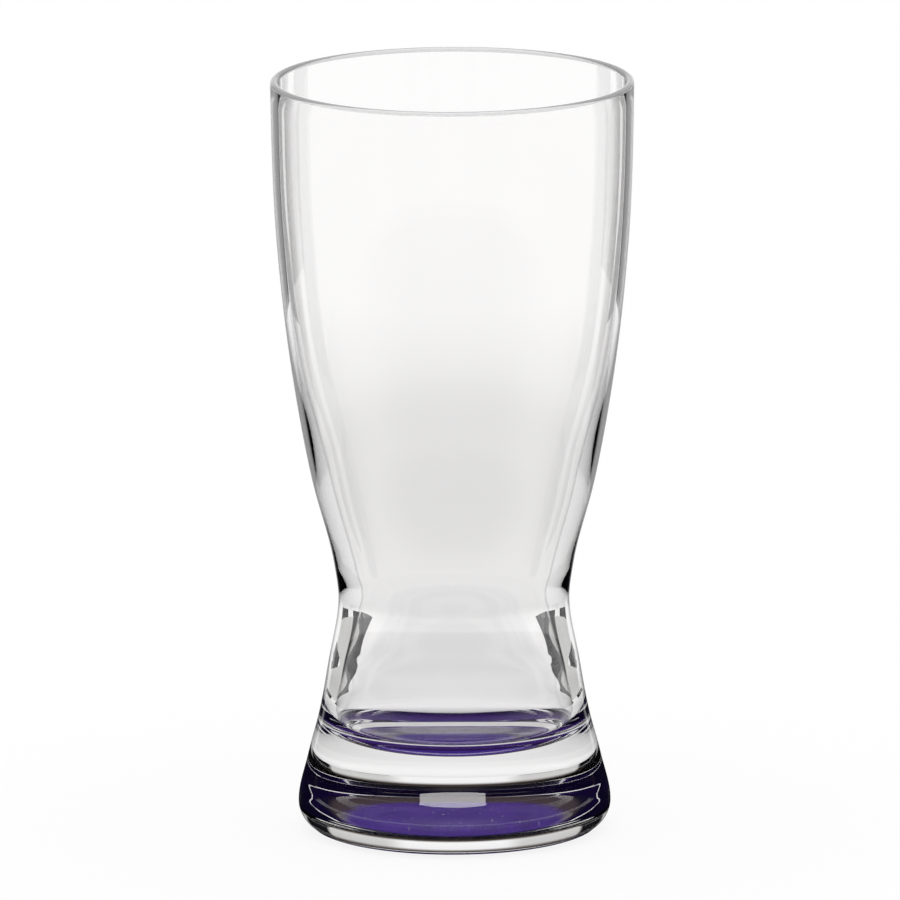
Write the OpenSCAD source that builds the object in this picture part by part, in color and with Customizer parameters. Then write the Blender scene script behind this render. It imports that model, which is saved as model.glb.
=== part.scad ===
// Hourglass pilsner glass for beer.
// The glass itself is one press-blown piece: a thin bowl, a narrow waist and a heavy solid foot.
// The only other piece is a thin see-through violet lacquer coat baked onto the underside of the foot.
// The coat covers the hollow, the ring that the glass rests on and the start of the heel.
// The origin is the middle of the resting plane and +Z runs up the axis of the glass.

/* [Overall] */
// Height from the resting plane to the top of the rim
glass_h = 152; // [142:0.5:175]
// Outside diameter just under the rim
rim_d = 72.4; // [69:0.2:78]
// Outside diameter of the foot at its widest
foot_d = 62.4; // [60:0.2:68]

/* [Bowl outside] */
// Height of the shoulder, where the bowl starts to draw in
shoulder_z = 120; // [112:0.5:128]
// Outside diameter at the shoulder
shoulder_d = 70.2; // [67:0.2:72]
// Height of the middle of the tapering bowl
belly_z = 90; // [84:0.5:96]
// Outside diameter at the middle of the tapering bowl
belly_d = 63.4; // [61:0.2:65]
// Height of the lower bowl
hip_z = 71; // [67:0.5:75]
// Outside diameter at the lower bowl
hip_d = 56.4; // [54:0.2:58]
// Height at which the taper turns into the waist
neck_z = 54; // [52:0.5:58]
// Outside diameter at which the taper turns into the waist
neck_d = 47.8; // [47:0.2:50]

/* [Waist and foot outside] */
// Height of the waist, the narrowest place
waist_z = 47; // [44:0.5:49]
// Outside diameter at the waist
waist_d = 46.1; // [43:0.1:46.5]
// Height of the swell under the waist
calf_z = 34; // [31:0.5:37]
// Outside diameter at the swell under the waist
calf_d = 50.2; // [48:0.2:52]
// Height at which the swell turns into the flare of the foot
ankle_z = 24; // [22:0.5:27]
// Outside diameter at which the swell turns into the flare of the foot
ankle_d = 53.8; // [52.6:0.2:55]
// Height of the middle of the flare
flare_z = 14.5; // [12:0.5:17]
// Outside diameter at the middle of the flare
flare_d = 58.7; // [56:0.2:59.6]
// Radius of the heel, the rounding from the widest place down to the resting ring
heel_r = 5.5; // [4:0.1:8]

/* [Wall] */
// Thickness of the wall at the rim
rim_wall = 1.6; // [1.2:0.1:2.4]
// Thickness of the wall at the shoulder
shoulder_wall = 1.5; // [1.2:0.1:2.4]
// Thickness of the wall at the middle of the bowl
belly_wall = 2; // [1.5:0.1:2.8]
// Thickness of the wall at the lower bowl
hip_wall = 3.3; // [2:0.1:3.6]
// Thickness of the wall above the waist
neck_wall = 3.8; // [2.6:0.1:4.4]
// Thickness of the wall at the waist
waist_wall = 4.2; // [2.6:0.1:4.6]
// Thickness of the wall at the swell under the waist
calf_wall = 3.5; // [2.6:0.1:4.6]

/* [Inside of the foot] */
// Height of the widest place inside, under the waist
cup_z = 23; // [21.5:0.5:28]
// Thickness of glass between the widest place inside and the ankle outside
cup_wall = 3.1; // [2.6:0.1:5.4]
// Thickness of glass from the hollow under the foot up to the drinking floor
floor_t = 16.2; // [14:0.2:18.6]
// Diameter of the flat middle of the drinking floor
floor_d = 20; // [12:0.2:36]

/* [Underside] */
// Width of the flat ring that the glass rests on
ring_w = 2; // [1:0.1:4]
// Depth of the hollow under the foot just inside the resting ring
hollow_step = 0.4; // [0.3:0.05:0.8]
// Depth of the hollow under the foot at its middle
hollow_depth = 0.5; // [0.5:0.1:2]
// Thickness of the violet coat
coat_t = 0.15; // [0.1:0.01:0.2]
// How many of the ten steps of the heel's rounding the coat covers
coat_steps = 3; // [1:1:5]

/* [Hidden] */
$fn = 96;

// Steps along each stretch of an outline, and along a quarter turn of a rounding
stretch_steps = 6;
corner_steps = 10;

// The glass stands on its coat, so its own ring is one coat thickness above the resting plane
ring_z = coat_t;
foot_r = foot_d / 2;
rim_r = rim_d / 2;
cup_r = ankle_d / 2 - cup_wall;
floor_z = ring_z + hollow_depth + floor_t;
ring_r = foot_r - heel_r;
ring_in_r = ring_r - ring_w;
hollow_r = ring_in_r - hollow_step;
heel_z = ring_z + heel_r;

// The step into the hollow leans at 45 degrees, so an even coat turns into it by this share
step_turn = 45;
miter_share = tan(step_turn / 2);

// The rim is fire-polished to a half-round lip as thick as the wall under it
lip_r = rim_wall / 2;
lip_z = glass_h - lip_r;

// Stations of the outside from the heel up, each a height and a radius
outside = [
    [heel_z, foot_r],
    [flare_z, flare_d / 2],
    [ankle_z, ankle_d / 2],
    [calf_z, calf_d / 2],
    [waist_z, waist_d / 2],
    [neck_z, neck_d / 2],
    [hip_z, hip_d / 2],
    [belly_z, belly_d / 2],
    [shoulder_z, shoulder_d / 2],
    [lip_z, rim_r]
];

// Stations of the inside from the widest place in the foot up
inside = [
    [cup_z, cup_r],
    [calf_z, calf_d / 2 - calf_wall],
    [waist_z, waist_d / 2 - waist_wall],
    [neck_z, neck_d / 2 - neck_wall],
    [hip_z, hip_d / 2 - hip_wall],
    [belly_z, belly_d / 2 - belly_wall],
    [shoulder_z, shoulder_d / 2 - shoulder_wall],
    [lip_z, rim_r - rim_wall]
];

// Slope of the chord from station i up to the next one
function chord(s, i) = (s[i + 1][1] - s[i][1]) / (s[i + 1][0] - s[i][0]);

// Slope of the outline at a station: level where it turns back, else between the two chords
function lean(s, i) =
    i == 0 ? 0 :
    i == len(s) - 1 ? (3 * chord(s, i - 1) - lean(s, i - 1)) / 2 :
    let (below = chord(s, i - 1), above = chord(s, i),
         below_h = s[i][0] - s[i - 1][0], above_h = s[i + 1][0] - s[i][0])
    below * above <= 0 ? 0 : (below * above_h + above * below_h) / (below_h + above_h);

// Radius at the share t of the way up from station i, on a smooth cubic
function radius_at(s, i, t) =
    let (h = s[i + 1][0] - s[i][0])
    (2 * t ^ 3 - 3 * t ^ 2 + 1) * s[i][1] + (t ^ 3 - 2 * t ^ 2 + t) * h * lean(s, i)
    + (3 * t ^ 2 - 2 * t ^ 3) * s[i + 1][1] + (t ^ 3 - t ^ 2) * h * lean(s, i + 1);

// Points of a smooth outline through all stations, from the lowest up
function smooth(s) = [
    for (i = [0 : len(s) - 2], k = [0 : stretch_steps - 1])
        let (t = k / stretch_steps)
        [radius_at(s, i, t), s[i][0] + t * (s[i + 1][0] - s[i][0])],
    [s[len(s) - 1][1], s[len(s) - 1][0]]
];

// Points from the end of a list back to its start
function reversed(points) = [for (i = [len(points) - 1 : -1 : 0]) points[i]];

// Steps first to last of a quarter turn of a rounding, with its own half width and height
function quarter(centre_r, centre_z, half_w, half_h, a, b, first, last) = [
    for (k = [first : last])
        let (turn = a + (b - a) * k / corner_steps)
        [centre_r + half_w * cos(turn), centre_z + half_h * sin(turn)]
];

// Height of the hollow under the foot at a radius: a very flat dome above the step
function hollow_z(r) = ring_z + hollow_step + (hollow_depth - hollow_step) * (1 - (r / hollow_r) ^ 2);

// Underside from the middle of the hollow out to the heel, moved out of the glass by skin
function underside(skin, heel_steps) = concat(
    [for (k = [0 : corner_steps])
        let (r = hollow_r * k / corner_steps)
        [k < corner_steps ? r : r - skin * miter_share, hollow_z(r) - skin]],
    [[ring_in_r - skin * miter_share, ring_z - skin]],
    quarter(ring_r, heel_z, heel_r + skin, heel_r + skin, -90, 0, 0, heel_steps)
);

// The whole glass, from the middle of the hollow out, up, over the lip and down the inside
module glass_body() {
    color([0.86, 0.9, 0.92, 0.35])
    rotate_extrude()
    polygon(concat(
        underside(0, corner_steps - 1),
        smooth(outside),
        quarter(rim_r - lip_r, lip_z, lip_r, lip_r, 0, 90, 1, corner_steps),
        quarter(rim_r - lip_r, lip_z, lip_r, lip_r, 90, 180, 1, corner_steps - 1),
        reversed(smooth(inside)),
        quarter(floor_d / 2, cup_z, cup_r - floor_d / 2, cup_z - floor_z, 0, -90, 1, corner_steps),
        [[0, floor_z]]
    ));
}

// The violet coat, face to face with the glass from the middle of the hollow to the heel
module base_tint() {
    color([0.36, 0.22, 0.62, 0.6])
    rotate_extrude()
    polygon(concat(underside(0, coat_steps), reversed(underside(coat_t, coat_steps))));
}

glass_body();
base_tint();
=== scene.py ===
import math

import bmesh
import bpy
from bpy.props import FloatProperty, FloatVectorProperty, IntProperty, PointerProperty
from mathutils import Matrix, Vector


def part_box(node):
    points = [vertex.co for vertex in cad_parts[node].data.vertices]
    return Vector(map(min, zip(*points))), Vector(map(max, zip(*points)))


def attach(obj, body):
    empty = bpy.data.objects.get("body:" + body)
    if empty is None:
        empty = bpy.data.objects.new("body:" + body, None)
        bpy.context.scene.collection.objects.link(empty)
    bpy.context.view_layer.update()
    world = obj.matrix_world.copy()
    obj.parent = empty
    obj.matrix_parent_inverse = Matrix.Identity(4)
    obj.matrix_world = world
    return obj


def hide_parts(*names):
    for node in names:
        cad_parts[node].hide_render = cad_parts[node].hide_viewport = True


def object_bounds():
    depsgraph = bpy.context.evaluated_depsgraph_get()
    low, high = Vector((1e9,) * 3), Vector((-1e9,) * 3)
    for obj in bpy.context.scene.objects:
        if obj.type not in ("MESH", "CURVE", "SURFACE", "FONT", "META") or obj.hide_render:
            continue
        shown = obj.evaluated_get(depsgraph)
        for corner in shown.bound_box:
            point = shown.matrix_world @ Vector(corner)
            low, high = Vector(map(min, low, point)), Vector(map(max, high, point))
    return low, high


bl_info = {
    "name": "Hourglass Pilsner Glass",
    "version": (1, 0, 0),
    "blender": (4, 5, 0),
    "location": "View3D > Sidebar > Pilsner",
    "description": "A clear hourglass beer glass with a violet coat under its foot, on a bright table",
    "category": "Add Mesh",
}

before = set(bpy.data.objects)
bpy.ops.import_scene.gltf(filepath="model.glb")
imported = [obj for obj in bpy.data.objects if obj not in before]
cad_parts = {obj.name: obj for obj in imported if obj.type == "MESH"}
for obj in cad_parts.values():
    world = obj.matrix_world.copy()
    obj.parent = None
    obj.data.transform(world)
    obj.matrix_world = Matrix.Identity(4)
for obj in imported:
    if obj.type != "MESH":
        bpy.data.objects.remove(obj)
CAD_BOX = [list(corner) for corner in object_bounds()]

# Farthest corner of the glass's own box, which gives its height and the radius of its rim
GLASS_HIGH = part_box("glass_body")[1]

WHITE = (1.0, 1.0, 1.0, 1.0)

# Points nearer than this are merged into one
SAME_POINT = 1e-6

# Faces that meet at more than this angle keep a sharp edge
SHARP_ANGLE = math.radians(35)

# Steps of the flat middle of the drinking floor
FLOOR_STEPS = 6

# Faces of the cup's floor look up by more than this share, and those of its walls by less
FLOOR_SLOPE = 0.2

# Places of the four materials on the glass
WALL, FOOT, COATED, LIP = range(4)

# How far on edge a wall is seen, from 0 straight on to 1, where the painted shade starts to darken it and
# where it is darkest
EDGE_SHADE_STARTS = 0.78
EDGE_SHADE_FULL = 0.9

# Level of the mottle where the painted glow is least, and how fast the painted glow grows from there
MOTTLE_LOW = 0.35
MOTTLE_CONTRAST = 2.5

# Levels of the finest noise between which a speck of painted glow shows
SPECK_LEVELS = (0.79, 0.86)

# Least share of the coat's cover, and how much the grain adds to it
COVER_LOW = 0.9
COVER_GRAIN = 0.2

# Steps round the table, along a card and along the strip light
TABLE_STEPS = 96
CARD_STEPS = 12
STRIP_STEPS = 16

# Brightness of the table as the glass sees it, by the distance from the axis as a share of its span: a
# painted shadow under and round the foot, and painted light and shade further out
TABLE_SPAN = 0.5
TABLE_PAINTED_SHADE = (
    (0.0, 0.12), (1.0, 1.0), (0.034, 0.12), (0.043, 0.5), (0.058, 0.72), (0.084, 0.8), (0.11, 1.0),
    (0.24, 0.9), (0.5, 0.84), (0.84, 0.95),
)

# Share of the table that the camera sees as plain white, and the paint of the rest, which takes the shadow
TABLE_WHITE = 0.88
TABLE_PAINT = (0.9, 0.9, 0.9, 1.0)

# The table lies this much under the resting ring, so that the two faces don't fall on each other
TABLE_DROP = 0.00005

# Dark cards on the table: near and far edge in metres, and two angles in degrees from straight behind
CARDS = (
    (0.42, 2.9, 16.3, 33), (0.42, 2.9, -33, -16.3), (0.42, 2.9, 44, 64), (0.42, 2.9, -64, -44),
)

# Bands round the glass: start, end and softness in degrees, from 0 behind it to 180 in front, on either side
GREY_BACKDROP = (16, 80, 4)
DARK_SIDES = (44, 66, 1.5)
DIM_FRONT = (125, 240, 30)
ROOM_IN_FRONT = (50, 190, 6)
MIRRORED_ROOM = (20, 190, 3)
MIRRORED_NEAR_TABLE = (17, 190, 4)
MIRRORED_FAR_TABLE = (37, 62, 3)

# Distances between which the near part of the mirrored table gives way to the far part
NEAR_TABLE_ENDS = (0.20, 0.25)

# Colour of the grey backdrop, how dark the front is, and how softly the backdrop ends at its top
BACKDROP_GREY = (0.68, 0.68, 0.67, 1.0)
FRONT_DARKNESS = 0.5
BACKDROP_FADE = 0.19

# Place and size of the flag that keeps the strip light off the ankle
FLAG_PLACE = (0, -0.050, 0.0292)
FLAG_SIZE = (0.040, 0.0138, 1, 1)

# Width of the camera's frame in millimetres, and the nearest and farthest that it sees, in metres
FRAME_WIDTH = 36.0
SEES_FROM = 0.1
SEES_TO = 50.0


def size_property(name, description, default):
    """A length in metres that a user may change."""
    return FloatProperty(
        name=name, description=description, default=default, min=0.0, precision=5, unit="LENGTH",
    )


def share_property(name, description, default, most=1.0):
    """A plain number from nought up."""
    return FloatProperty(name=name, description=description, default=default, min=0.0, max=most)


def angle_property(name, description, degrees):
    """An angle that a user may change."""
    return FloatProperty(
        name=name, description=description, default=math.radians(degrees),
        min=-math.pi, max=math.pi, subtype="ANGLE",
    )


def count_property(name, description, default, least, most):
    """A whole number of steps."""
    return IntProperty(name=name, description=description, default=default, min=least, max=most)


def tone_property(name, description, default):
    """A colour in the scene's own linear values."""
    return FloatVectorProperty(
        name=name, description=description, default=default, size=3, min=0.0, max=1.0, subtype="COLOR",
    )


class PilsnerShape(bpy.types.PropertyGroup):
    """Sizes of the glass and its coat, the same as in the CAD source."""

    glass_h: size_property("Height", "From the resting plane to the top of the rim", GLASS_HIGH[2])
    rim_d: size_property("Rim", "Outside diameter just under the rim", 2 * GLASS_HIGH[0])
    foot_d: size_property("Foot", "Outside diameter of the foot at its widest", 0.0624)
    shoulder_z: size_property("Shoulder height", "Where the bowl starts to draw in", 0.120)
    shoulder_d: size_property("Shoulder", "Outside diameter at the shoulder", 0.0702)
    belly_z: size_property("Belly height", "Middle of the tapering bowl", 0.090)
    belly_d: size_property("Belly", "Outside diameter at the middle of the bowl", 0.0634)
    hip_z: size_property("Hip height", "Height of the lower bowl", 0.071)
    hip_d: size_property("Hip", "Outside diameter at the lower bowl", 0.0564)
    neck_z: size_property("Neck height", "Where the taper turns into the waist", 0.054)
    neck_d: size_property("Neck", "Outside diameter above the waist", 0.0478)
    waist_z: size_property("Waist height", "The narrowest place", 0.047)
    waist_d: size_property("Waist", "Outside diameter at the narrowest place", 0.0461)
    calf_z: size_property("Calf height", "The swell under the waist", 0.034)
    calf_d: size_property("Calf", "Outside diameter at the swell", 0.0502)
    ankle_z: size_property("Ankle height", "Where the swell turns into the flare", 0.024)
    ankle_d: size_property("Ankle", "Outside diameter at the ankle", 0.0538)
    flare_z: size_property("Flare height", "Middle of the flare of the foot", 0.0145)
    flare_d: size_property("Flare", "Outside diameter at the middle of the flare", 0.0587)
    heel_r: size_property("Heel", "Radius of the rounding down to the resting ring", 0.0055)
    rim_wall: size_property("Wall at the rim", "Thickness of the glass at the rim", 0.0016)
    shoulder_wall: size_property("Wall at the shoulder", "Thickness of the glass at the shoulder", 0.0015)
    belly_wall: size_property("Wall at the belly", "Thickness of the glass at the belly", 0.002)
    hip_wall: size_property("Wall at the hip", "Thickness of the glass at the hip", 0.0033)
    neck_wall: size_property("Wall at the neck", "Thickness of the glass at the neck", 0.0038)
    waist_wall: size_property("Wall at the waist", "Thickness of the glass at the waist", 0.0042)
    calf_wall: size_property("Wall at the calf", "Thickness of the glass at the calf", 0.0035)
    cup_z: size_property("Cup height", "Widest place inside, under the waist", 0.023)
    cup_wall: size_property("Wall at the cup", "Glass between the widest place inside and the ankle", 0.0031)
    floor_t: size_property("Floor", "Glass from the hollow up to the drinking floor", 0.0162)
    floor_d: size_property("Flat of the floor", "Diameter of the flat middle of the drinking floor", 0.020)
    ring_w: size_property("Resting ring", "Width of the ring that the glass rests on", 0.002)
    hollow_step: size_property("Step", "Depth of the hollow just inside the ring", 0.0004)
    hollow_depth: size_property("Hollow", "Depth of the hollow at its middle", 0.0005)
    coat_t: size_property("Coat", "Thickness of the violet coat", 0.00015)
    coat_gap: size_property("Bond", "Room left for the bond between the coat and the glass", 0.00001)
    coat_turn: angle_property("Coat's edge", "How far round the heel the coat reaches", 27)
    around: count_property("Steps around", "Steps of the full turn", 256, 32, 384)
    stretch_steps: count_property("Steps along", "Steps along each stretch of an outline", 10, 2, 24)
    corner_steps: count_property("Steps in a rounding", "Steps along a quarter turn", 20, 4, 48)


class PilsnerFinish(bpy.types.PropertyGroup):
    """Colours and clearness of the glass and the coat."""

    ior: share_property("Glass IOR", "How strongly the glass bends light", 1.52, 2.0)
    glass_tone: tone_property("Glass", "Colour of the clear glass", (0.985, 0.98, 0.978))
    # Painted shade: a dark paint mixed into the wall glass where it is seen on edge, in place of the dark
    # surroundings that its edges show
    edge_shade_tone: tone_property("Glass on edge", "Colour of a wall that is seen on edge", (0.055, 0.05, 0.065))
    edge_shade_strength: share_property("Edge strength", "How dark a wall turns where it is seen on edge", 0.4)
    # Painted highlight: a pale paint mixed into the lip's glass stands in for the light that the rounded lip
    # gathers from the room
    lip_highlight_tone: tone_property("Lip", "Colour that the lip gathers from the room", (0.8, 0.8, 0.81))
    lip_highlight_share: share_property("Lip's share", "How strongly the lip gathers light", 0.5)
    wave_scale: share_property("Waviness", "How many swells of the glass to a metre", 60.0, 500.0)
    wave_height: size_property("Wave height", "Height of the swells in the glass", 0.000008)
    coat_tone: tone_property("Coat", "Colour of light that the coat lets through", (0.14, 0.06, 0.42))
    coat_body: tone_property("Coat's pigment", "Colour of the coat's own pigment", (0.04, 0.012, 0.22))
    coat_cover: share_property("Coat's cover", "Share of the light that the pigment catches", 0.6)
    # Painted glow: emission in the pigment stands in for the light that the table sends through the coat, and
    # the specks glow in a painted colour of their own
    coat_painted_glow: tone_property("Coat's glow", "Light that the pigment scatters", (0.078, 0.034, 0.33))
    thin_glow_share: share_property("Thin pigment", "Glow of the thinnest pigment against the fullest", 0.7)
    speck_glow_tone: tone_property("Specks", "Colour of the tiny specks in the pigment", (0.3, 0.27, 0.42))
    coat_rim_tone: tone_property("Coat's rim", "Light through the thin outer coat", (0.8, 0.74, 0.8))
    coat_rim_cover: share_property("Cover at the rim", "Share that the outer pigment catches", 0.04)
    coat_full: size_property("Full coat", "Radius within which the coat is thick", 0.0142)
    coat_fades: size_property("Coat fades", "Radius at which the coat is thin", 0.0165)
    coat_ragged: size_property("Ragged edge", "How far the coat's inner edge wanders", 0.002)
    coat_roughness: share_property("Coat's roughness", "Roughness of the coat's own face", 0.06)
    coat_ior: share_property("Coat's IOR", "How strongly the coat bends light", 1.5, 2.0)
    coat_clearness: share_property("Coat's clearness", "Share of the light that passes the coat", 0.8)
    grain_scale: share_property("Grain", "Fineness of the coat's grain", 900.0, 5000.0)
    mottle_scale: share_property("Mottle", "Fineness of the coat's mottle", 320.0, 5000.0)
    speck_scale: share_property("Speck size", "Fineness of the specks", 1900.0, 5000.0)


class PilsnerStage(bpy.types.PropertyGroup):
    """The table, the light and the camera of the photograph."""

    table_r: size_property("Table", "Radius of the table", 3.0)
    camera_distance: size_property("Camera distance", "From the middle of the glass", 4.2)
    camera_lift: angle_property("Camera height", "How far the camera looks down", 11.55)
    camera_roll: angle_property("Camera roll", "How far the camera is turned about its own axis", -0.2)
    camera_lens: share_property("Lens", "Focal length in millimetres on a 36 mm frame", 842.4, 5000.0)
    shift_x: FloatProperty(name="Shift across", description="Camera's shift across", default=-0.0038)
    shift_y: FloatProperty(name="Shift up", description="Camera's shift up", default=0.0044)
    bright_to: angle_property("Backdrop's top", "How high over the table the bright backdrop reaches", 18)
    room_tone: tone_property("Room", "Colour of the dim room over the backdrop", (0.06, 0.046, 0.038))
    lamp_power: share_property("Lamp", "Strength of the soft lamp", 3.3, 100.0)
    lamp_height: size_property("Lamp's height", "Where the lamp hangs, which changes no light", 1.5)
    lamp_width: angle_property("Lamp's width", "How wide the soft lamp looks from the table", 80)
    card_tone: tone_property("Cards", "Colour of the dark cards beside the glass", (0.006, 0.006, 0.007))
    strip_distance: size_property("Strip distance", "From the foot to the strip light", 1.2)
    strip_lift: angle_property("Strip height", "How high over the table the strip light hangs", 19.5)
    strip_rise: angle_property("Strip rise", "Angle from the lower to the upper edge of the strip light", 5.2)
    strip_turn: angle_property("Strip length", "Angle from end to end of the strip light", 50.5)
    strip_aside: angle_property("Strip aside", "How far the strip light is turned off the middle", -1.5)
    strip_power: share_property("Strip power", "Strength of the strip light", 7.4, 100.0)


class Value:
    """An output socket that takes part in sums with numbers and other sockets."""

    def __init__(self, sheet, socket):
        self.sheet = sheet
        self.socket = socket

    def maths(self, operation, first, second):
        return self.sheet.add("ShaderNodeMath", {"operation": operation}, {0: first, 1: second})

    def __add__(self, other):
        return self.maths("ADD", self, other)

    def __radd__(self, other):
        return self.maths("ADD", other, self)

    def __sub__(self, other):
        return self.maths("SUBTRACT", self, other)

    def __rsub__(self, other):
        return self.maths("SUBTRACT", other, self)

    def __mul__(self, other):
        return self.maths("MULTIPLY", self, other)

    def __rmul__(self, other):
        return self.maths("MULTIPLY", other, self)

    def __truediv__(self, other):
        return self.maths("DIVIDE", self, other)

    def __rtruediv__(self, other):
        return self.maths("DIVIDE", other, self)


class Sheet:
    """The node tree of a material or of the world."""

    def __init__(self, owner):
        owner.use_nodes = True
        self.tree = owner.node_tree
        self.tree.nodes.clear()

    def add(self, kind, settings=None, values=None, out=0):
        """One node: its settings first, then the values or links of its sockets."""
        node = self.tree.nodes.new(kind)
        for key, value in (settings or {}).items():
            setattr(node, key, value)
        for key, value in (values or {}).items():
            socket = node.inputs[key]
            if isinstance(value, Value):
                self.tree.links.new(value.socket, socket)
            else:
                socket.default_value = value
        return Value(self, node.outputs[out]) if node.outputs else None

    def mix(self, share, first, second):
        """Two shaders, the second by its share."""
        return self.add("ShaderNodeMixShader", None, {0: share, 1: first, 2: second})

    def blend(self, share, first, second):
        """Two colours, the second by its share."""
        return self.add(
            "ShaderNodeMix", {"data_type": "RGBA"}, {"Factor": share, "A": first, "B": second}, out="Result",
        )

    def soft_step(self, value, low, high, start=0.0, end=1.0):
        """From start to end as the value goes from low to high, with soft ends."""
        return self.add("ShaderNodeMapRange", {"interpolation_type": "SMOOTHSTEP"}, {
            "Value": value, "From Min": low, "From Max": high, "To Min": start, "To Max": end,
        })

    def noise(self, place, scale, detail):
        """Noise of a fineness, with so many finer layers on it."""
        return self.add(
            "ShaderNodeTexNoise", None, {"Vector": place, "Scale": scale, "Detail": detail}, out="Fac",
        )

    def ray(self, question):
        """One where the ray is of the kind asked for."""
        return self.add("ShaderNodeLightPath", out=question)

    def mirrored(self):
        """One for a ray that a surface threw back, and not for one that came through the glass."""
        return self.ray("Is Glossy Ray") * (1 - self.ray("Is Transmission Ray"))

    def turn(self, place):
        """Angle of a place or a direction from straight behind the glass, to either side."""
        across = self.add("ShaderNodeSeparateXYZ", None, {0: place}, out="X")
        ahead = self.add("ShaderNodeSeparateXYZ", None, {0: place}, out="Y")
        turn = self.add("ShaderNodeMath", {"operation": "ARCTAN2"}, {0: across, 1: ahead})
        return self.add("ShaderNodeMath", {"operation": "ABSOLUTE"}, {0: turn})

    def band(self, turn, start, end, soft):
        """One between two turns in degrees, nought outside them, with soft edges."""
        start, end, soft = math.radians(start), math.radians(end), math.radians(soft)
        rise = self.soft_step(turn, start - soft, start + soft)
        return rise * (1 - self.soft_step(turn, end - soft, end + soft))

    def greys(self, value, stops):
        """A ramp of greys, each stop a place and a level."""
        whole = self.add("ShaderNodeValToRGB", None, {0: value})
        ramp = whole.socket.node.color_ramp
        for place, _ in stops[2:]:
            ramp.elements.new(place)
        for element, (place, level) in zip(ramp.elements, sorted(stops)):
            element.position = place
            element.color = (level, level, level, 1.0)
        return whole

    def surface(self, shader):
        """Ends the tree in the shader of the whole surface."""
        self.add("ShaderNodeOutputMaterial", None, {"Surface": shader})


def rgba(tone):
    """A colour that hides what is behind it."""
    return (*tone, 1.0)


def painted(name, tone):
    """A material of one dull colour, for the stage."""
    material = bpy.data.materials.new(name)
    sheet = Sheet(material)
    sheet.surface(sheet.add("ShaderNodeBsdfDiffuse", None, {"Color": rgba(tone)}))
    return material


def chord(stations, i):
    """Slope of the outline's chord from station i up to the next."""
    (z0, r0), (z1, r1) = stations[i], stations[i + 1]
    return (r1 - r0) / (z1 - z0)


def leans(stations):
    """Slope of the outline at every station: level where it turns back."""
    slopes = [0.0]
    for i in range(1, len(stations) - 1):
        below, above = chord(stations, i - 1), chord(stations, i)
        below_h = stations[i][0] - stations[i - 1][0]
        above_h = stations[i + 1][0] - stations[i][0]
        level = below * above <= 0
        slopes.append(0.0 if level else (below * above_h + above * below_h) / (below_h + above_h))
    slopes.append((3 * chord(stations, len(stations) - 2) - slopes[-1]) / 2)
    return slopes


def smooth(stations, steps):
    """Points of a smooth outline through all stations, from the lowest up."""
    slopes = leans(stations)
    points = []
    for i in range(len(stations) - 1):
        (z0, r0), (z1, r1) = stations[i], stations[i + 1]
        h = z1 - z0
        for k in range(steps):
            t = k / steps
            r = (
                (2 * t**3 - 3 * t**2 + 1) * r0 + (t**3 - 2 * t**2 + t) * h * slopes[i]
                + (3 * t**2 - 2 * t**3) * r1 + (t**3 - t**2) * h * slopes[i + 1]
            )
            points.append((r, z0 + t * h))
    points.append((stations[-1][1], stations[-1][0]))
    return points


def rounding(centre, half_w, half_h, start, end, steps):
    """Points of a rounding, from one angle to another, both ends included."""
    turns = [start + (end - start) * k / steps for k in range(steps + 1)]
    return [(centre[0] + half_w * math.cos(t), centre[1] + half_h * math.sin(t)) for t in turns]


def underside(s, skin, turn):
    """The underside from its middle out to the heel, moved out of the glass by skin."""
    ring_z = s.coat_t
    ring_r = s.foot_d / 2 - s.heel_r
    hollow_r = ring_r - s.ring_w - s.hollow_step
    miter = skin * math.tan(math.pi / 8)
    points = []
    for k in range(s.corner_steps + 1):
        r = hollow_r * k / s.corner_steps
        z = ring_z + s.hollow_step + (s.hollow_depth - s.hollow_step) * (1 - (r / hollow_r) ** 2)
        points.append((r if k < s.corner_steps else r - miter, z - skin))
    points.append((ring_r - s.ring_w - miter, ring_z - skin))
    reach = s.heel_r + skin
    down = -math.pi / 2
    steps = max(2, round(s.corner_steps * turn / (math.pi / 2)))
    return points + rounding((ring_r, ring_z + s.heel_r), reach, reach, down, down + turn, steps)


def glass_outline(s):
    """The whole glass, from the middle of the hollow out, up, over the lip and down the inside."""
    cup_r = s.ankle_d / 2 - s.cup_wall
    floor_r = s.floor_d / 2
    floor_z = s.coat_t + s.hollow_depth + s.floor_t
    lip = s.rim_wall / 2
    lip_z = s.glass_h - lip
    outside = [
        (s.coat_t + s.heel_r, s.foot_d / 2), (s.flare_z, s.flare_d / 2), (s.ankle_z, s.ankle_d / 2),
        (s.calf_z, s.calf_d / 2), (s.waist_z, s.waist_d / 2), (s.neck_z, s.neck_d / 2),
        (s.hip_z, s.hip_d / 2), (s.belly_z, s.belly_d / 2), (s.shoulder_z, s.shoulder_d / 2),
        (lip_z, s.rim_d / 2),
    ]
    inside = [
        (s.cup_z, cup_r), (s.calf_z, s.calf_d / 2 - s.calf_wall), (s.waist_z, s.waist_d / 2 - s.waist_wall),
        (s.neck_z, s.neck_d / 2 - s.neck_wall), (s.hip_z, s.hip_d / 2 - s.hip_wall),
        (s.belly_z, s.belly_d / 2 - s.belly_wall), (s.shoulder_z, s.shoulder_d / 2 - s.shoulder_wall),
        (lip_z, s.rim_d / 2 - s.rim_wall),
    ]
    down, steps = -math.pi / 2, s.corner_steps
    coated = underside(s, 0.0, s.coat_turn)
    ring = (s.foot_d / 2 - s.heel_r, s.coat_t + s.heel_r)
    heel = rounding(ring, s.heel_r, s.heel_r, down + s.coat_turn, 0.0, steps)[1:-1]
    over = rounding((s.rim_d / 2 - lip, lip_z), lip, lip, 0.0, math.pi, steps)[1:-1]
    cup = rounding((floor_r, s.cup_z), cup_r - floor_r, s.cup_z - floor_z, 0.0, down, steps)[1:]
    flat = [(floor_r * (1 - k / FLOOR_STEPS), floor_z) for k in range(1, FLOOR_STEPS + 1)]
    walls = smooth(outside, s.stretch_steps) + over + smooth(inside, s.stretch_steps)[::-1]
    return coated, coated + heel + walls + cup + flat


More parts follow.
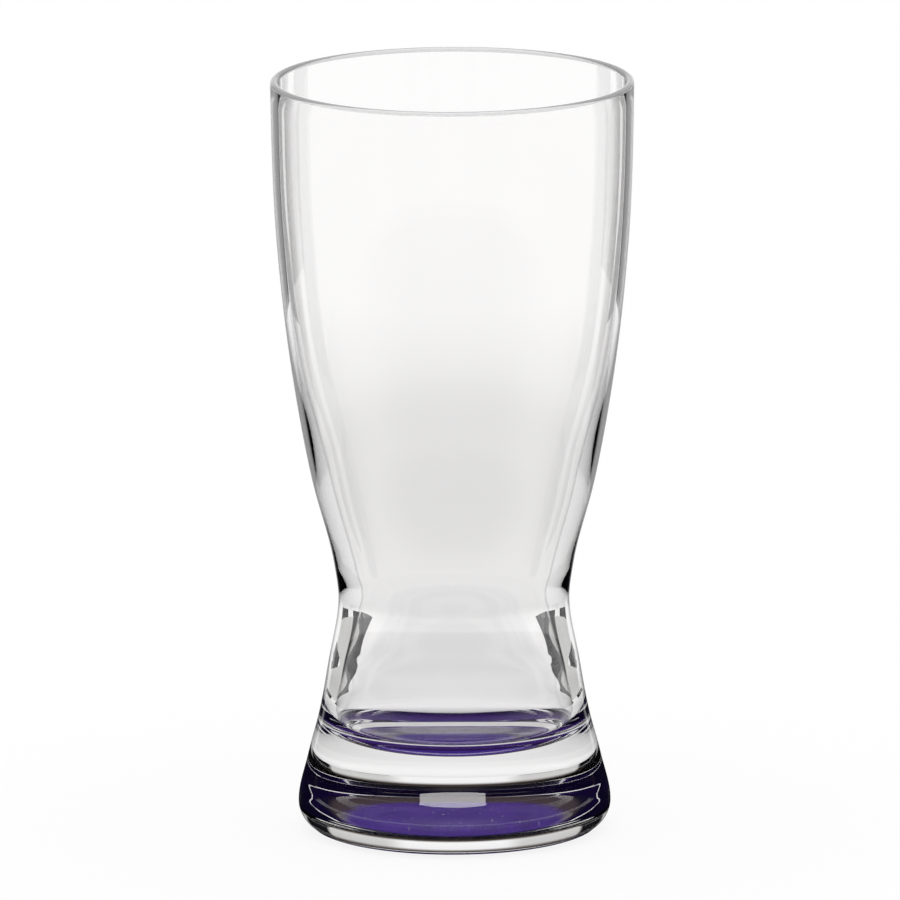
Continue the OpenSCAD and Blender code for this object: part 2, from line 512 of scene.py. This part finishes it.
def turned(name, outline, around):
    """A piece from an outline of radii and heights, turned once round the axis."""
    bm = bmesh.new()
    corners = [bm.verts.new((r, 0.0, z)) for r, z in outline]
    edges = [bm.edges.new(pair) for pair in zip(corners, corners[1:])]
    bmesh.ops.spin(
        bm, geom=corners + edges, cent=(0, 0, 0), axis=(0, 0, 1), dvec=(0, 0, 0),
        angle=2 * math.pi, steps=around, use_merge=True,
    )
    bmesh.ops.remove_doubles(bm, verts=bm.verts[:], dist=SAME_POINT)
    bmesh.ops.recalc_face_normals(bm, faces=bm.faces[:])
    for face in bm.faces:
        face.smooth = True
    mesh = bpy.data.meshes.new(name)
    bm.to_mesh(mesh)
    bm.free()
    mesh.set_sharp_from_angle(angle=SHARP_ANGLE)
    piece = bpy.data.objects.new(name, mesh)
    bpy.context.scene.collection.objects.link(piece)
    return piece


def wavy_glass(sheet, f):
    """Clear glass with the slight waviness that pressing and blowing leave in it."""
    swell = sheet.noise(sheet.add("ShaderNodeTexCoord", out="Object"), f.wave_scale, detail=1.0)
    waves = sheet.add("ShaderNodeBump", None, {"Strength": 1.0, "Distance": f.wave_height, "Height": swell})
    return sheet.add("ShaderNodeBsdfPrincipled", None, {
        "Base Color": rgba(f.glass_tone), "Roughness": 0.0, "IOR": f.ior, "Transmission Weight": 1.0,
        "Normal": waves,
    })


def wall_glass(f):
    """Glass of the walls, with a painted shade that turns it dark where it is seen on edge."""
    material = bpy.data.materials.new("clear glass")
    sheet = Sheet(material)
    edge = sheet.add("ShaderNodeBsdfDiffuse", None, {"Color": rgba(f.edge_shade_tone)})
    facing = sheet.add("ShaderNodeLayerWeight", None, {"Blend": 0.5}, out="Facing")
    # Painted shade: the dark paint comes in where the wall is seen on edge
    painted_edge_shade = sheet.soft_step(facing, EDGE_SHADE_STARTS, EDGE_SHADE_FULL, end=f.edge_shade_strength)
    sheet.surface(sheet.mix(painted_edge_shade, wavy_glass(sheet, f), edge))
    return material


def foot_glass(f):
    """Glass of the solid foot and the cup."""
    material = bpy.data.materials.new("clear glass foot")
    sheet = Sheet(material)
    sheet.surface(wavy_glass(sheet, f))
    return material


def lip_glass(f):
    """The fire-polished lip, with a pale paint mixed in as a painted highlight for the light that it gathers
    from the whole room.
    """
    material = bpy.data.materials.new("clear glass lip")
    sheet = Sheet(material)
    painted_lip_highlight = sheet.add("ShaderNodeBsdfDiffuse", None, {"Color": rgba(f.lip_highlight_tone)})
    sheet.surface(sheet.mix(f.lip_highlight_share, wavy_glass(sheet, f), painted_lip_highlight))
    return material


def coated_glass(f):
    """The underside of the glass, with the violet coat bonded to it, whose pigment carries a painted glow."""
    material = bpy.data.materials.new("violet under glass")
    sheet = Sheet(material)
    place = sheet.add("ShaderNodeTexCoord", out="Object")
    grain = sheet.noise(place, f.grain_scale, detail=4.0)
    reach = sheet.add("ShaderNodeVectorMath", {"operation": "LENGTH"}, {0: place}, out="Value")
    inner = sheet.soft_step(reach + (grain - 0.5) * f.coat_ragged, f.coat_full, f.coat_fades, 1.0, 0.0)
    glass = sheet.add("ShaderNodeBsdfPrincipled", None, {
        "Base Color": sheet.blend(inner, rgba(f.coat_rim_tone), rgba(f.coat_tone)),
        "Roughness": 0.0, "IOR": f.ior, "Transmission Weight": 1.0,
    })
    # Painted glow: the pigment's emission stands in for light that the table sends through the coat. It glows
    # unevenly, between a thin and a full coat, and a few specks stand out of it
    mottle = (sheet.noise(place, f.mottle_scale, detail=3.0) - MOTTLE_LOW) * MOTTLE_CONTRAST
    thin_painted_glow = tuple(f.thin_glow_share * part for part in f.coat_painted_glow)
    painted_glow = sheet.blend(mottle, rgba(thin_painted_glow), rgba(f.coat_painted_glow))
    speck = sheet.soft_step(sheet.noise(place, f.speck_scale, detail=0.0), *SPECK_LEVELS)
    pigment = sheet.add("ShaderNodeBsdfPrincipled", None, {
        "Base Color": rgba(f.coat_body), "Roughness": 0.6, "Specular IOR Level": 0.0,
        "Emission Color": sheet.blend(speck, painted_glow, rgba(f.speck_glow_tone)), "Emission Strength": 1.0,
    })
    cover = inner * (COVER_LOW + grain * COVER_GRAIN) * f.coat_cover + (1 - inner) * f.coat_rim_cover
    sheet.surface(sheet.mix(cover, glass, pigment))
    return material


def violet_coat(f):
    """The coat itself, glossy and see-through."""
    material = bpy.data.materials.new("violet coat")
    sheet = Sheet(material)
    sheet.surface(sheet.add("ShaderNodeBsdfPrincipled", None, {
        "Base Color": rgba(f.coat_tone), "Roughness": f.coat_roughness, "IOR": f.coat_ior,
        "Transmission Weight": f.coat_clearness,
    }))
    return material


class PILSNER_OT_glass_body(bpy.types.Operator):
    """Turn the clear glass on the axis of its CAD solid"""

    bl_idname = "pilsner.glass_body"
    bl_label = "Glass"

    def execute(self, context):
        s = context.scene.pilsner_shape
        f = context.scene.pilsner_finish
        coated, outline = glass_outline(s)
        piece = turned("glass", outline, s.around)
        for material in (wall_glass(f), foot_glass(f), coated_glass(f), lip_glass(f)):
            piece.data.materials.append(material)
        coat_top = coated[-1][1] + SAME_POINT
        heel_top = s.coat_t + s.heel_r
        cup_r = s.ankle_d / 2 - s.cup_wall
        for face in piece.data.polygons:
            z, radius = face.center.z, math.hypot(face.center.x, face.center.y)
            if z < coat_top and face.normal.z < 0:
                face.material_index = COATED
            elif z > s.glass_h - s.rim_wall:
                face.material_index = LIP
            elif z < s.cup_z and (face.normal.z > FLOOR_SLOPE or z < heel_top or radius < cup_r):
                face.material_index = FOOT
            else:
                face.material_index = WALL
        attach(piece, "root")
        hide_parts("glass_body")
        return {"FINISHED"}


class PILSNER_OT_base_tint(bpy.types.Operator):
    """Turn the violet coat under the foot"""

    bl_idname = "pilsner.base_tint"
    bl_label = "Violet coat"

    def execute(self, context):
        s = context.scene.pilsner_shape
        f = context.scene.pilsner_finish
        outline = underside(s, s.coat_gap, s.coat_turn) + underside(s, s.coat_t, s.coat_turn)[::-1]
        piece = turned("coat", outline, s.around)
        piece.data.materials.append(violet_coat(f))
        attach(piece, "root")
        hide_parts("base_tint")
        return {"FINISHED"}


class PILSNER_OT_stage(bpy.types.Operator):
    """Lay the bright table, hang the light and set up the camera"""

    bl_idname = "pilsner.stage"
    bl_label = "Table, light and camera"

    def execute(self, context):
        t = context.scene.pilsner_stage
        self.table(t)
        self.cards(t)
        self.strip(t)
        self.flag(t)
        self.surroundings(context.scene, t)
        self.lamp(context.scene, t)
        self.camera(context.scene, t)
        return {"FINISHED"}

    def placed(self, name, bm, material):
        """An object of the stage from its mesh and its material."""
        mesh = bpy.data.meshes.new(name)
        bm.to_mesh(mesh)
        bm.free()
        thing = bpy.data.objects.new(name, mesh)
        bpy.context.scene.collection.objects.link(thing)
        thing.data.materials.append(material)
        return thing

    def unseen_by(self, thing, *rays):
        """Hides an object of the stage from some kinds of ray."""
        for ray in rays:
            setattr(thing, f"visible_{ray}", False)

    def swept(self, low, high, start, sweep, steps):
        """A sheet from a line between two points, turned from a start through a sweep round the axis."""
        bm = bmesh.new()
        ends = [bm.verts.new(low), bm.verts.new(high)]
        edge = bm.edges.new(ends)
        bmesh.ops.rotate(bm, verts=ends, cent=(0, 0, 0), matrix=Matrix.Rotation(start, 3, "Z"))
        bmesh.ops.spin(
            bm, geom=ends + [edge], cent=(0, 0, 0), axis=(0, 0, 1), dvec=(0, 0, 0), angle=sweep, steps=steps,
        )
        return bm

    def table(self, t):
        """The white table, graded for the glass with a painted shadow under the foot and painted light and
        shade further out, and plain for the camera.
        """
        bm = bmesh.new()
        bmesh.ops.create_circle(bm, cap_ends=True, cap_tris=False, segments=TABLE_STEPS, radius=t.table_r)
        bmesh.ops.translate(bm, verts=bm.verts[:], vec=(0, 0, -TABLE_DROP))
        material = bpy.data.materials.new("white table")
        sheet = Sheet(material)
        place = sheet.add("ShaderNodeTexCoord", out="Object")
        reach = sheet.add("ShaderNodeVectorMath", {"operation": "LENGTH"}, {0: place}, out="Value")
        turn = sheet.turn(place)
        far = sheet.soft_step(reach, *NEAR_TABLE_ENDS)
        aside_near = sheet.band(turn, *MIRRORED_NEAR_TABLE) * (1 - far)
        aside_far = sheet.band(turn, *MIRRORED_FAR_TABLE) * far
        # Painted shadow under the foot and painted light and shade further out, shown to the glass as
        # emission
        painted_shade_levels = sheet.greys(reach / TABLE_SPAN, TABLE_PAINTED_SHADE)
        painted_shade = sheet.add("ShaderNodeEmission", None, {"Color": painted_shade_levels})
        unlit = sheet.add("ShaderNodeEmission", None, {"Color": rgba(t.card_tone)})
        by_glass = sheet.mix(sheet.mirrored() * (aside_near + aside_far), painted_shade, unlit)
        paint = sheet.add("ShaderNodeBsdfDiffuse", None, {"Color": TABLE_PAINT})
        white = sheet.add("ShaderNodeEmission", None, {"Color": WHITE})
        by_camera = sheet.mix(sheet.ray("Is Camera Ray") * TABLE_WHITE, paint, white)
        through_glass = sheet.ray("Is Glossy Ray") + sheet.ray("Is Transmission Ray")
        sheet.surface(sheet.mix(through_glass, by_camera, by_glass))
        table = self.placed("table", bm, material)

    def cards(self, t):
        """Dark cards that lie round the glass, which only light through the glass reaches."""
        material = painted("dark card", t.card_tone)
        for number, (near, far, start, end) in enumerate(CARDS, 1):
            sweep = math.radians(end - start)
            bm = self.swept((0, near, 0), (0, far, 0), math.radians(start), sweep, CARD_STEPS)
            card = self.placed(f"card_{number}", bm, material)
            self.unseen_by(card, "camera", "diffuse", "shadow", "glossy")

    def strip(self, t):
        """A long narrow light high in front, which shows as a grey patch on the foot."""
        low, high = (t.strip_distance * math.tan(t.strip_lift + half * t.strip_rise) for half in (-0.5, 0.5))
        bm = self.swept(
            (0, -t.strip_distance, low), (0, -t.strip_distance, high),
            t.strip_aside - t.strip_turn / 2, t.strip_turn, STRIP_STEPS,
        )
        material = bpy.data.materials.new("strip light")
        sheet = Sheet(material)
        sheet.surface(sheet.add("ShaderNodeEmission", None, {"Color": WHITE, "Strength": t.strip_power}))
        strip = self.placed("strip light", bm, material)
        self.unseen_by(strip, "camera", "diffuse", "shadow", "transmission")

    def flag(self, t):
        """A small dark flag close in front, which keeps the strip light off the ankle."""
        bm = bmesh.new()
        bmesh.ops.create_grid(bm, x_segments=1, y_segments=1, size=0.5)
        upright = Matrix.Rotation(math.pi / 2, 4, "X") @ Matrix.Diagonal(FLAG_SIZE)
        bmesh.ops.transform(bm, verts=bm.verts[:], matrix=Matrix.Translation(FLAG_PLACE) @ upright)
        flag = self.placed("flag", bm, painted("dark flag", t.card_tone))
        self.unseen_by(flag, "camera", "diffuse", "shadow", "transmission")

    def surroundings(self, scene, t):
        """White to the camera. To the glass, a bright backdrop with dark sides under a dim room."""
        world = bpy.data.worlds.new("bright surroundings")
        scene.world = world
        sheet = Sheet(world)
        way = sheet.add("ShaderNodeTexCoord", out="Generated")
        height = sheet.add("ShaderNodeSeparateXYZ", None, {0: way}, out="Z")
        turn = sheet.turn(way)
        sides = sheet.band(turn, *DARK_SIDES) + sheet.band(turn, *DIM_FRONT) * FRONT_DARKNESS
        backdrop = sheet.blend(sheet.band(turn, *GREY_BACKDROP), WHITE, BACKDROP_GREY)
        lit = sheet.blend(sides, backdrop, rgba(t.card_tone))
        room = sheet.blend(1 - sheet.band(turn, *ROOM_IN_FRONT), rgba(t.card_tone), rgba(t.room_tone))
        top = math.sin(t.bright_to)
        over = sheet.soft_step(height, top - BACKDROP_FADE, top)
        away = sheet.mirrored() * sheet.band(turn, *MIRRORED_ROOM)
        dim = sheet.add("ShaderNodeMath", {"operation": "MAXIMUM"}, {0: over, 1: away})
        tone = sheet.blend(sheet.ray("Is Camera Ray"), sheet.blend(dim, lit, room), WHITE)
        sky = sheet.add("ShaderNodeBackground", None, {"Color": tone, "Strength": 1.0})
        sheet.add("ShaderNodeOutputWorld", None, {"Surface": sky})

    def lamp(self, scene, t):
        """One wide soft lamp overhead, which the glass doesn't show."""
        data = bpy.data.lights.new("soft lamp", "SUN")
        data.angle = t.lamp_width
        data.energy = t.lamp_power
        lamp = bpy.data.objects.new("soft lamp", data)
        lamp.location = (0, 0, t.lamp_height)
        self.unseen_by(lamp, "glossy", "transmission")
        scene.collection.objects.link(lamp)

    def camera(self, scene, t):
        """The camera of the photograph, with its long lens."""
        data = bpy.data.cameras.new("camera")
        data.sensor_width = FRAME_WIDTH
        data.lens = t.camera_lens
        data.shift_x = t.shift_x
        data.shift_y = t.shift_y
        data.clip_start = SEES_FROM
        data.clip_end = SEES_TO
        camera = bpy.data.objects.new("camera", data)
        lift = t.camera_lift
        middle = (CAD_BOX[0][2] + CAD_BOX[1][2]) / 2
        back, up = t.camera_distance * math.cos(lift), t.camera_distance * math.sin(lift)
        camera.location = (0, -back, middle + up)
        camera.matrix_world = (
            Matrix.Translation(camera.location)
            @ Matrix.Rotation(math.pi / 2 - lift, 4, "X")
            @ Matrix.Rotation(t.camera_roll, 4, "Z")
        )
        scene.collection.objects.link(camera)
        scene.camera = camera


class PILSNER_PT_sidebar(bpy.types.Panel):
    """The pieces of the glass and its stage"""

    bl_label = "Pilsner glass"
    bl_idname = "PILSNER_PT_sidebar"
    bl_space_type = "VIEW_3D"
    bl_region_type = "UI"
    bl_category = "Pilsner"

    def draw(self, context):
        for operator in (PILSNER_OT_glass_body, PILSNER_OT_base_tint, PILSNER_OT_stage):
            self.layout.operator(operator.bl_idname)
        scene = context.scene
        for group in (scene.pilsner_shape, scene.pilsner_finish, scene.pilsner_stage):
            box = self.layout.box()
            for name in group.__annotations__:
                box.prop(group, name)


CLASSES = (
    PilsnerShape, PilsnerFinish, PilsnerStage,
    PILSNER_OT_glass_body, PILSNER_OT_base_tint, PILSNER_OT_stage, PILSNER_PT_sidebar,
)


def register():
    for each in CLASSES:
        bpy.utils.register_class(each)
    bpy.types.Scene.pilsner_shape = PointerProperty(type=PilsnerShape)
    bpy.types.Scene.pilsner_finish = PointerProperty(type=PilsnerFinish)
    bpy.types.Scene.pilsner_stage = PointerProperty(type=PilsnerStage)


def unregister():
    del bpy.types.Scene.pilsner_stage
    del bpy.types.Scene.pilsner_finish
    del bpy.types.Scene.pilsner_shape
    for each in reversed(CLASSES):
        bpy.utils.unregister_class(each)


def main():
    """Builds every piece and the stage."""
    register()
    bpy.ops.pilsner.glass_body()
    bpy.ops.pilsner.base_tint()
    bpy.ops.pilsner.stage()
    scene = bpy.context.scene
    scene.view_settings.view_transform = "Standard"


if __name__ == "__main__":
    main()
